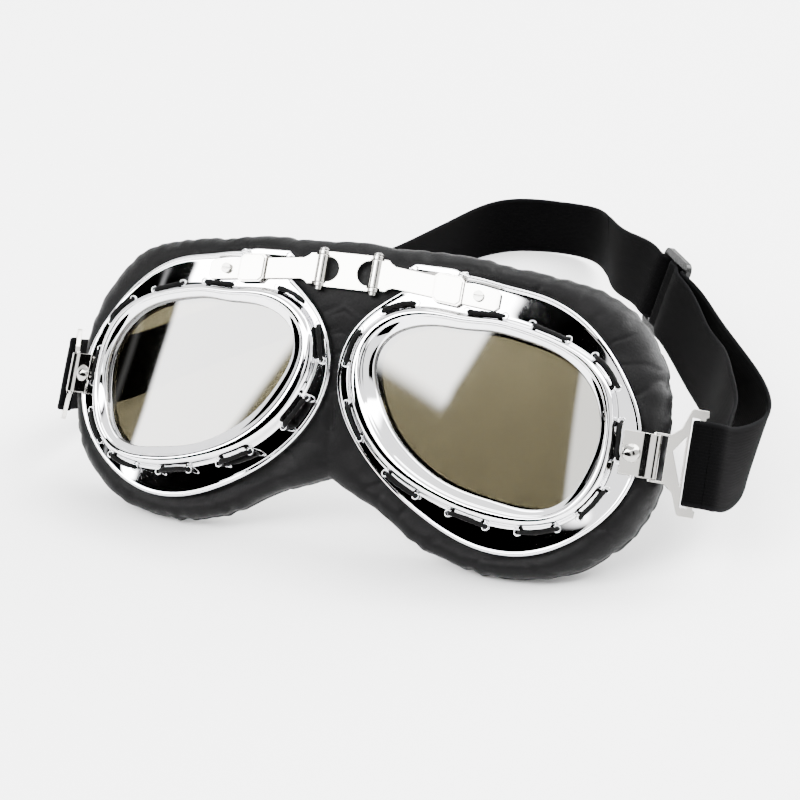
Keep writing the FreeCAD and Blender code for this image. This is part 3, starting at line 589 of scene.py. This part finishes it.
# ---------------------------------------------------------------- lacing
def tube(points, radius, sides):
    """Points and faces of a round tube along a line, with closed ends."""
    p = np.asarray(points, float)
    along = np.gradient(p, axis=0)
    along /= np.linalg.norm(along, axis=1)[:, None]
    across = np.cross(along, (0.31, 0.83, 0.46))
    across /= np.linalg.norm(across, axis=1)[:, None]
    other = np.cross(along, across)
    rows = []
    for k in range(sides):
        a = 2 * math.pi * k / sides
        rows.append(p + (across * math.cos(a) + other * math.sin(a)) * radius)
    verts = np.stack(rows, 1).reshape(-1, 3)
    faces = grid_faces(len(p), sides, False, True)
    faces.append(tuple(range(sides))[::-1])
    faces.append(tuple((len(p) - 1) * sides + k for k in range(sides)))
    return verts, faces


def joined(name, parts):
    """One object from upright points and faces of several parts."""
    verts, faces, base = [], [], 0
    for v, f in parts:
        verts.append(v)
        faces += [tuple(i + base for i in face) for face in f]
        base += len(v)
    return mesh_object(name, placed(np.concatenate(verts)), faces)


def stitch_paths():
    """Front stitches on the right lens: up through a hole, along the bezel's foot and down again."""
    line = ring_points([r + 1.1 for r in FOOT_RADII], [0.0] * 16, 720, 1)
    step = np.linalg.norm(np.diff(np.vstack([line, line[:1]]), axis=0), axis=1)
    walked = np.concatenate([[0], np.cumsum(step)])[:-1] / step.sum()
    paths = []
    for k, start in enumerate(LACE_STARTS):
        f = np.linspace(-1, 1, 23)
        share = ((f + 1) / 2 * LACE_STITCH + start) % 1.0
        path = np.stack([np.interp(share, walked, line[:, i], period=1.0) for i in range(3)], -1)
        path[:, 1] -= 1.15 - 3.4 * np.abs(f) ** 9 + 0.12 * math.sin(3.1 * k) * (1 - f * f)
        outward = path[:, [0, 2]] - np.array(CENTRE)
        outward /= np.linalg.norm(outward, axis=1)[:, None]
        bow = 0.35 * math.cos(2.3 * k) * (1 - f * f) + 0.3 * np.abs(f) ** 6
        path[:, [0, 2]] += outward * bow[:, None]
        paths.append(path)
    return paths


def stitches(side, word):
    parts = []
    for path in stitch_paths():
        verts, faces = tube(path * (side, 1, 1), LACE_RADIUS, LACE_SIDES)
        shake = np.array([noise.noise(Vector(v) * 1.7) for v in verts])
        middle = np.repeat(path * (side, 1, 1), LACE_SIDES, axis=0)
        parts.append((middle + (verts - middle) * (1 + 0.28 * shake[:, None]), faces))
    obj = joined("lace_stitches_" + word, parts)
    paint(obj, lace_skin)
    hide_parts("lacing_" + word)
    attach(obj, word + "_unit")
    return obj


# ---------------------------------------------------------------- padded mask
def halves(name, points, faces, material, levels, relief):
    """Both halves of a ring that is cut at the middle plane, with shading that runs on across the cut."""
    ring = mesh_object("ring", points, faces)
    subdivide(ring, levels)
    work = bmesh.new()
    work.from_mesh(ring.data)
    bmesh.ops.bisect_plane(work, geom=work.verts[:] + work.edges[:] + work.faces[:], plane_co=(0, 0, 0),
                           plane_no=(-1, 0, 0), dist=0.0001, clear_outer=True)
    copied = bmesh.ops.duplicate(work, geom=work.verts[:] + work.edges[:] + work.faces[:])["geom"]
    for item in copied:
        if isinstance(item, bmesh.types.BMVert):
            item.co.x = -item.co.x
    bmesh.ops.remove_doubles(work, verts=work.verts[:], dist=0.002)
    bmesh.ops.recalc_face_normals(work, faces=work.faces[:])
    work.to_mesh(ring.data)
    work.free()
    if relief:
        relief(ring)
    settled_points = placed(points_of(ring))
    move_points(ring, settled_points)
    normals = normals_of(ring)
    result = {}
    for side, word in ((1, "right"), (-1, "left")):
        keep = [tuple(p.vertices) for p in ring.data.polygons
                if p.center.x * 1000 * side > SET_DOWN[0] * side]
        used = sorted({i for face in keep for i in face})
        place = {old: new for new, old in enumerate(used)}
        mesh = bpy.data.meshes.new(name + word)
        mesh.from_pydata([tuple(settled_points[i]) for i in used], [],
                         [tuple(place[i] for i in face) for face in keep])
        mesh.polygons.foreach_set("use_smooth", [True] * len(mesh.polygons))
        mesh.normals_split_custom_set_from_vertices([tuple(normals[i]) for i in used])
        obj = bpy.data.objects.new(name + word, mesh)
        bpy.context.collection.objects.link(obj)
        result[word] = paint(obj, material)
    bpy.data.objects.remove(ring)
    return result


def arched(points):
    """Distances from the middle plane that let the mask's lower edge cross it level, as an arch."""
    x, z = points[:, 0], points[:, 2]
    cut = ARCH * np.clip((-16.0 - z) / 8.0, 0, 1)
    square = x * np.abs(x) - cut ** 2
    return np.sign(square) * np.sqrt(np.abs(square))


def gathered_rings():
    """Cross-section of the mask: front roll, gathered seam, side wall, face side and inner wall."""
    count = 288
    deep = [PAD_DEPTH + 0.4 * s for s in SETBACK]

    def sunk(share, more):
        return [s * share + more for s in SETBACK]

    loops = [
        ([r + 3.2 for r in FOOT_RADII], [d - 5.0 for d in deep]),
        ([r + 2.6 for r in FOOT_RADII], sunk(0.5, 4.2)),
        (between(EDGE_RADII, FOOT_RADII, 0.35), sunk(0.9, 2.2)),
        (between(EDGE_RADII, MASK_RADII, -0.02), sunk(1.0, 1.6)),
        (between(EDGE_RADII, MASK_RADII, 0.16), sunk(1.0, 1.3)),
        (between(EDGE_RADII, MASK_RADII, 0.40), sunk(0.93, 1.3)),
        (between(EDGE_RADII, MASK_RADII, 0.66), sunk(0.84, 2.2)),
        (between(EDGE_RADII, MASK_RADII, 0.88), sunk(0.72, 4.2)),
        (between(EDGE_RADII, MASK_RADII, 0.99), sunk(0.6, 6.8)),
        (between(EDGE_RADII, MASK_RADII, 1.02), sunk(0.5, 9.2)),
        ([r - 0.2 for r in MASK_RADII], sunk(0.45, 11.3)),
        ([r + 0.5 for r in MASK_RADII], sunk(0.42, 12.1)),
        ([r - 0.4 for r in MASK_RADII], sunk(0.4, 12.9)),
        ([r - 1.0 for r in MASK_RADII], [d - 2.4 for d in deep]),
        ([r - 2.6 for r in MASK_RADII], [d - 0.6 for d in deep]),
        ([r - 4.8 for r in MASK_RADII], deep),
        ([r + 4.6 for r in FOOT_RADII], deep),
    ]
    pucker = (0, 0, 0, 0.05, 0.1, 0.2, 0.4, 0.6, 0.8, 0.9, 0.9, 1.1, 0.8, 0.6, 0.3, 0, 0)
    rings = []
    for (radii, depth), gather in zip(loops, pucker):
        ring = ring_points(radii, depth, count, 1)
        outward = ring[:, [0, 2]] - np.array(CENTRE)
        outward /= np.linalg.norm(outward, axis=1)[:, None]
        turns = np.arange(count) / count
        waves = np.zeros(count)
        for k, (number, size) in enumerate(((33, 0.22), (47, 0.24), (61, 0.20), (19, 0.16))):
            swell = 0.5 + 0.5 * np.sin(2 * math.pi * turns * (3 + k) + 1.7 * k)
            waves += size * swell * np.sin(2 * math.pi * turns * number + 2.1 * k)
        fade = np.clip(ring[:, 0] / 8.0, 0, 1)
        ring[:, [0, 2]] += outward * (waves * gather * fade)[:, None]
        ring[:, 0] = arched(ring)
        rings.append(ring)
    return np.concatenate(rings), grid_faces(len(rings), count, True, True)


def crumple(obj):
    """Soft folds in the leather, differing from side to side, with a crease down the nose."""
    points = points_of(obj)
    normals = normals_of(obj)
    push = np.empty(len(points))
    for i, p in enumerate(points):
        v = Vector(p)
        fine = noise.noise(v * 0.22 + Vector((7.0, 1.0, 2.0)))
        slow = noise.noise(v * 0.07 + Vector((1.0, 4.0, 9.0)))
        fold = abs(noise.noise(Vector((p[0] * 0.05, p[1] * 0.12, p[2] * 0.11)) + Vector((3.0, 5.0, 1.0))))
        push[i] = fine * 0.22 + slow * 0.5 - (0.08 - min(fold, 0.08)) * 4.0
    nose = np.exp(-(points[:, 0] / 1.6) ** 2) * np.clip((24.0 - points[:, 2]) / 14.0, 0, 1)
    move_points(obj, points + normals * (push - 0.3 * nose)[:, None])


def liner_rings():
    """Soft liner on the face side of the mask."""
    deep = [PAD_DEPTH + 0.4 * s for s in SETBACK]
    outer = [min(p - 5.2, f + 10.0) for p, f in zip(PAD_RADII, FOOT_RADII)]
    inner = [r + 4.0 for r in FOOT_RADII]
    loops = [
        (outer, [d + 0.1 for d in deep]),
        ([r + 0.2 for r in outer], [d + 1.2 for d in deep]),
        ([r - 0.9 for r in outer], [d + 2.4 for d in deep]),
        (between(outer, inner, 0.5), [d + 2.7 for d in deep]),
        ([r + 0.9 for r in inner], [d + 2.4 for d in deep]),
        ([r - 0.1 for r in inner], [d + 1.2 for d in deep]),
        (inner, [d + 0.1 for d in deep]),
    ]
    rings = [ring_points(radii, depth, 144, 1) for radii, depth in loops]
    return np.concatenate(rings), grid_faces(len(rings), 144, True, True)


# ---------------------------------------------------------------- strap
def buckle_point(along, across, side=1):
    """Point and upper-edge direction of the strap, along from the rivet through the buckle, leaned back."""
    turn = TAB_TURN + (LEFT_FOLD if side < 0 else 0.0)
    bar = RIVET + TAB_OUT * np.array((math.cos(TAB_TURN), math.sin(TAB_TURN), 0.0))
    c, s = math.cos(turn), math.sin(turn)
    reach = along - TAB_OUT
    p = leaned(bar + np.array((reach * c - across * s, reach * s + across * c, 0.0)))
    up = leaned((0.0, 0.0, 1.0))
    return (p[0] * side, p[1], p[2], up[0] * side, up[1], up[2])


def slider_axes():
    """Along the strap, towards the inside of the loop, and up the slider's bars."""
    run = SLIDER_RUN / np.linalg.norm(SLIDER_RUN)
    up = SLIDER_UP - run * SLIDER_UP.dot(run)
    up /= np.linalg.norm(up)
    return run, np.cross(run, up), up


def slider_point(along, inside):
    run, inner, up = slider_axes()
    p = SLIDER_AT + run * along + inner * inside
    return (*p, *up)


class Strap:
    """Webbing through stations of (x, y, z) and the direction of its upper edge, leaned-back millimetres."""

    def __init__(self, rows, thickness=STRAP_THICKNESS):
        self.rows = np.asarray(rows, float)
        self.thickness = thickness
        p = self.rows[:, :3]
        self.walked = np.concatenate([[0], np.cumsum(np.linalg.norm(np.diff(p, axis=0), axis=1))])
        self.length = self.walked[-1]

    def at(self, places):
        p = cubic(self.walked, self.rows[:, :3], places)
        rim = cubic(self.walked, self.rows[:, :3] + self.rows[:, 3:], places)
        run = cubic(self.walked, self.rows[:, :3], places + 0.02) - p
        run /= np.linalg.norm(run, axis=1)[:, None]
        up = rim - p
        up -= run * (up * run).sum(1)[:, None]
        up /= np.linalg.norm(up, axis=1)[:, None]
        return p, run, up, np.cross(run, up)

    def piece(self, name, begin, end, wave=0.0):
        """Mesh of the strap from begin to end, both millimetres along it."""
        count = max(4, int((end - begin) / 0.9))
        places = np.linspace(begin, end, count)
        p, run, up, out = self.at(np.clip(places, 0, self.length - 0.03))
        half, thick = STRAP_WIDTH / 2, self.thickness / 2
        across = [-half, -half + 0.25, -half + 1.3, -half + 2.0, -half + 2.5, -6, 0, 6,
                  half - 2.5, half - 2.0, half - 1.3, half - 0.25, half]
        depth = [0.15, 0.8, 1.0, 0.9, 0.86, 0.95, 1.0, 0.95, 0.86, 0.9, 1.0, 0.8, 0.15]
        section = [(a, d * thick) for a, d in zip(across, depth)]
        section += [(a, -d * thick) for a, d in list(zip(across, depth))[::-1]]
        rows, uvs = [], []
        for a, d in section:
            ripple = wave * np.sin(places * 0.13 + a * 0.05) * (abs(a) / half) ** 2
            rows.append(p + up * a + out * (d + ripple)[:, None])
            uvs.append(np.stack([places, np.full(count, a)], -1))
        n = len(section)
        faces = grid_faces(count, n, False, True)
        faces.append(tuple(range(n))[::-1])
        faces.append(tuple((count - 1) * n + k for k in range(n)))
        obj = mesh_object(name, settled(np.stack(rows, 1).reshape(-1, 3)), faces)
        uv_from(obj, np.stack(uvs, 1).reshape(-1, 2))
        for edge in obj.data.edges:
            edge.use_edge_sharp = max(edge.vertices) < n or min(edge.vertices) >= (count - 1) * n
        paint(obj, webbing)
        return obj

    def metres(self, place):
        return tuple(settled(self.at(np.array([place]))[0][0]))


def strap_rows():
    """Outer strap: right buckle, side, slider, round the back and to the left buckle."""
    rows = [
        buckle_point(LOOP_START, -LOOP_REACH),
        buckle_point(LOOP_START + 3.0, -LOOP_REACH + 0.9),
        buckle_point(LOOP_START + 5.2, -LOOP_REACH + 3.4),
        (119.6, 17.5, -24.4, 0.06, 0.46, 0.88),
        (121.9, 35.0, -28.0, 0.20, 0.26, 0.94),
        (118.0, 53.0, -28.3, 0.28, 0.11, 0.95),
        (109.5, 71.5, -28.5, 0.25, 0.15, 0.96),
        (100.0, 89.0, -28.8, 0.25, 0.13, 0.96),
        (90.5, 105.5, -28.0, 0.25, 0.13, 0.95),
    ]
    weave = [(14.0, LAYER), (9.4, LAYER + 0.3), (7.8, 1.7), (6.7, 0.5), (6.0, -1.2), (4.4, -2.9),
             (2.2, -3.5), (0.0, -3.5)]
    rows += [slider_point(along, inside) for along, inside in weave]
    rows += [slider_point(-along, inside) for along, inside in weave[-2::-1]]
    rows += [
        (47.5, 164.5, -27.5, 0.13, 0.23, 0.96),
        (33.0, 195.0, -34.0, -0.03, 0.21, 0.98),
        (10.0, 226.5, -41.2, -0.02, -0.03, 1.0),
        (-20.0, 226.5, -41.8, -0.02, -0.02, 1.0),
        (-40.0, 196.0, -42.0, 0.14, -0.10, 0.98),
        (-52.0, 163.5, -42.0, 0.15, -0.09, 0.98),
        (-69.0, 133.5, -42.0, 0.12, -0.07, 0.99),
        (-87.0, 104.0, -42.0, 0.10, -0.05, 0.99),
        (-102.0, 76.0, -41.6, 0.08, 0.03, 0.99),
        (-107.8, 50.0, -38.0, 0.08, 0.16, 0.98),
        (-111.0, 33.0, -33.0, 0.07, 0.30, 0.95),
        (-111.6, 21.5, -27.8, 0.05, 0.42, 0.90),
        buckle_point(LOOP_START + 3.0, -LOOP_REACH + 0.5, -1),
        buckle_point(LOOP_START, -LOOP_REACH, -1),
    ]
    return rows


def inner_rows():
    """Inner layer: from behind the right buckle to the slider's middle bar."""
    return [
        buckle_point(LOOP_START + 0.3, LOOP_REACH),
        buckle_point(LOOP_START + 2.8, LOOP_REACH + 0.7),
        buckle_point(LOOP_START + 4.6, LOOP_REACH + 3.2),
        (115.4, 18.5, -23.0, 0.04, 0.46, 0.88),
        (114.0, 30.0, -23.0, 0.10, 0.34, 0.93),
        (109.0, 47.5, -22.3, 0.17, 0.21, 0.96),
        (101.0, 73.0, -26.0, 0.17, 0.21, 0.96),
        (92.0, 92.0, -28.0, 0.18, 0.16, 0.97),
        slider_point(18.0, LAYER + STRAP_THICKNESS + 2.4),
        slider_point(10.0, LAYER + STRAP_THICKNESS + 1.4),
        slider_point(5.75, LAYER + 1.0),
        slider_point(3.35, LAYER),
    ]


def loop_rows(side):
    """Strap folded round the buckle's outer bar."""
    route = [(LOOP_START, -LOOP_REACH), (BAR_MIDDLE + 1.0, -LOOP_REACH)]
    for a in range(0, 181, 30):
        r = math.radians(a)
        route.append((BAR_MIDDLE - 0.4 - LOOP_REACH * math.sin(r), -LOOP_REACH * math.cos(r)))
    route += [(BAR_MIDDLE + 1.0, LOOP_REACH), (BAR_MIDDLE + 3.2, LOOP_REACH)]
    return [buckle_point(along, across, side) for along, across in route]


def fold_rows():
    """End of the inner layer, folded round the slider's middle bar."""
    rows = [slider_point(3.35, LAYER), slider_point(1.0, LAYER)]
    for a in range(0, 181, 30):
        r = math.radians(a)
        rows.append(slider_point(-0.9 - LAYER * math.sin(r), LAYER * math.cos(r)))
    rows.append(slider_point(1.5, -LAYER))
    return rows


def build_straps():
    outer = Strap(strap_rows())
    side_start, side_end = outer.walked[4], outer.walked[7]
    slider_start, slider_end, back_start = outer.walked[9], outer.walked[23], outer.walked[25]
    back_end, left_end = outer.walked[31], outer.walked[34]
    piece = outer.piece("strap_outer_end", 0, side_start)
    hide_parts("strap_outer")
    outer.metres(1.0)
    outer.metres(side_start)
    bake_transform(piece)
    piece = outer.piece("strap_outer_side", side_start, side_end)
    outer.metres(side_start)
    outer.metres(side_end)
    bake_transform(piece)
    piece = outer.piece("strap_outer_run", side_end, slider_end)
    outer.metres(side_end)
    outer.metres(slider_start)
    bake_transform(piece)
    piece = outer.piece("strap_outer_exit", slider_end, back_start)
    outer.metres(slider_end)
    outer.metres(back_start)
    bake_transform(piece)
    piece = outer.piece("strap_back", back_start, back_end, 0.25)
    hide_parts("strap_rear")
    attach(piece, "bridge")
    piece = outer.piece("strap_left_side", back_end, left_end)
    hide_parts("strap_left")
    outer.metres(back_end)
    outer.metres(left_end)
    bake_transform(piece)
    piece = outer.piece("strap_left_end", left_end, outer.length)
    outer.metres(left_end)
    outer.metres(outer.length - 1.0)
    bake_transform(piece)

    inner = Strap(inner_rows())
    side_start, side_end, run_end = inner.walked[4], inner.walked[6], inner.walked[7]
    piece = inner.piece("strap_inner_end", 0, side_start)
    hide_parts("strap_inner")
    inner.metres(1.0)
    inner.metres(side_start)
    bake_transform(piece)
    piece = inner.piece("strap_inner_side", side_start, side_end)
    inner.metres(side_start)
    inner.metres(side_end)
    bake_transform(piece)
    piece = inner.piece("strap_inner_run", side_end, run_end)
    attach(piece, "bridge")
    piece = inner.piece("strap_inner_back", run_end, inner.length)
    inner.metres(run_end)
    inner.metres(inner.walked[8])
    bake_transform(piece)

    for side, word in ((1, "right"), (-1, "left")):
        loop = Strap(loop_rows(side))
        piece = loop.piece("strap_turn_" + word, 0, loop.length)
        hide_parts("strap_loop_" + word)
        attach(piece, word + "_buckle")
    fold = Strap(fold_rows())
    piece = fold.piece("strap_slider_turn", 0, fold.length)
    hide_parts("slider_fold")
    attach(piece, "slider_body")


# ---------------------------------------------------------------- build
masks = halves("mask_", *gathered_rings(), leather, 1, crumple)
liners = halves("liner_", *liner_rings(), foam, 1, None)
for side, word in ((1, "right"), (-1, "left")):
    eye_frame(side, word)
    lens_plate(side, word)
    stitches(side, word)
    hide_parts(*(("pad_right", "nose_pad") if side > 0 else ("pad_left",)))
    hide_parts("face_liner_" + word)
    for soft in (masks[word], liners[word]):
        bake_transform(soft)
build_straps()

finishes = {"nickel_plate": nickel, "plated_steel": steel, "seal_rubber": rubber,
            "retainer_plastic": moulded, "slider_plastic": moulded}
slot_of = {s["node"]: s["material_slot"] for s in frame["record"]["subparts"]}
for name, obj in frame["nodes"].items():
    finish = finishes.get(slot_of[name])
    if finish is not None:
        obj.data.materials.clear()
        obj.data.materials.append(finish)


# ---------------------------------------------------------------- floor and light
def floor():
    half = 3
    points = [(-half, -half, 0), (half, -half, 0), (half, half, 0), (-half, half, 0)]
    obj = mesh_object("floor", points, [(0, 1, 2, 3)])
    mat, nodes, links, shader = material("floor_paint", (0.95, 0.95, 0.95), 0.8)
    tone = object_noise(nodes, links, 3, 2)
    links.new(blended(nodes, links, tone.outputs["Fac"], (0.945, 0.945, 0.945), (0.955, 0.955, 0.955)),
              shader.inputs["Base Color"])
    shader.inputs["Specular IOR Level"].default_value = 0.1
    paint(obj, mat)


def heading(azimuth, height):
    """Direction from azimuth (straight in front, positive to the viewer's right) and height, degrees."""
    a, e = math.radians(azimuth), math.radians(height)
    return Vector((math.sin(a) * math.cos(e), -math.cos(a) * math.cos(e), math.sin(e)))


class Sky:
    """Studio round the goggles. Each region of directions is cut out by planes and has its own brightness."""

    def __init__(self, level):
        self.world = bpy.data.worlds.new("studio")
        bpy.context.scene.world = self.world
        self.world.use_nodes = True
        self.nodes, self.links = self.world.node_tree.nodes, self.world.node_tree.links
        self.where = self.nodes.new("ShaderNodeTexCoord")
        value = self.nodes.new("ShaderNodeValue")
        value.outputs[0].default_value = level
        self.level = value.outputs[0]

    def side(self, normal, soft, offset=0.0):
        """One on the normal's side of a plane and nought on the other, with a soft edge."""
        dot = self.nodes.new("ShaderNodeVectorMath")
        dot.operation = "DOT_PRODUCT"
        dot.inputs[1].default_value = normal
        self.links.new(self.where.outputs["Generated"], dot.inputs[0])
        edge = self.nodes.new("ShaderNodeMapRange")
        edge.interpolation_type = "SMOOTHSTEP"
        edge.inputs["From Min"].default_value = offset - soft
        edge.inputs["From Max"].default_value = offset + soft
        self.links.new(dot.outputs["Value"], edge.inputs["Value"])
        return edge.outputs["Result"]

    def right_of(self, azimuth, soft=0.008):
        a = math.radians(azimuth)
        return self.side((math.cos(a), math.sin(a), 0), soft)

    def left_of(self, azimuth, soft=0.008):
        a = math.radians(azimuth)
        return self.side((-math.cos(a), -math.sin(a), 0), soft)

    def higher(self, height, soft=0.02):
        return self.side((0, 0, 1), soft, math.sin(math.radians(height)))

    def lower(self, height, soft=0.02):
        return self.side((0, 0, -1), soft, -math.sin(math.radians(height)))

    def past(self, one, other, soft=0.008):
        """Directions over the plane through two headings, named from left to right."""
        normal = heading(*one).cross(heading(*other)).normalized()
        return self.side(normal, soft)

    def region(self, value, *sides):
        """Gives the directions that are inside every side this brightness."""
        inside = sides[0]
        for more in sides[1:]:
            product = self.nodes.new("ShaderNodeMath")
            product.operation = "MULTIPLY"
            self.links.new(inside, product.inputs[0])
            self.links.new(more, product.inputs[1])
            inside = product.outputs[0]
        mix = self.nodes.new("ShaderNodeMix")
        mix.inputs[3].default_value = value
        self.links.new(inside, mix.inputs[0])
        self.links.new(self.level, mix.inputs[2])
        self.level = mix.outputs[0]

    def finish(self):
        self.links.new(self.level, self.nodes["Background"].inputs["Strength"])
        self.nodes["Background"].inputs["Color"].default_value = (1.0, 1.0, 1.0, 1)


def studio():
    """White tent, dark in front where the camera stands, with softboxes in the dark."""
    sky = Sky(SKY_LEVEL)
    # the dark in front, and a dark screen to the right
    sky.region(0.0, sky.right_of(-84), sky.left_of(18), sky.lower(63))
    sky.region(0.0, sky.right_of(34), sky.left_of(62), sky.lower(48), sky.higher(8))
    # thin stand at the far left
    sky.region(0.5, sky.right_of(-62.2), sky.left_of(-61.6), sky.lower(60), sky.higher(5))
    # one softbox for the left lens, its lower edge bent where it falls away to the left
    sky.region(SOFTBOX, sky.right_of(-57.2), sky.left_of(-37), sky.past((-44.6, 28.2), (-37.5, 35.6)),
               sky.lower(58))
    sky.region(SOFTBOX, sky.right_of(-37.2), sky.left_of(-24), sky.past((-37.5, 35.6), (-24.0, 38.8)),
               sky.lower(58))
    # its corner, which is the pointed highlight in the right lens
    sky.region(SOFTBOX, sky.right_of(-24.2), sky.past((-23.3, 38.8), (-10.8, 39.3)),
               sky.past((-10.8, 39.3), (-5.8, 42.5)), sky.lower(58))
    # narrow, weaker softbox at the right edge of the right lens
    sky.region(SOFTBOX * 0.4, sky.right_of(10.8), sky.left_of(18), sky.higher(30), sky.lower(42.3))
    sky.finish()


def panel(name, place, aim, wide, tall, power):
    light = bpy.data.objects.new(name, bpy.data.lights.new(name, "AREA"))
    light.data.shape = "RECTANGLE"
    light.data.size = wide
    light.data.size_y = tall
    light.data.energy = power
    light.location = place
    light.rotation_euler = (Vector(aim) - Vector(place)).to_track_quat("-Z", "Y").to_euler()
    bpy.context.collection.objects.link(light)


floor()
studio()
panel("top_panel", (0.1, 0.5, 1.3), (0, 0, 0), 1.0, 0.7, 22)
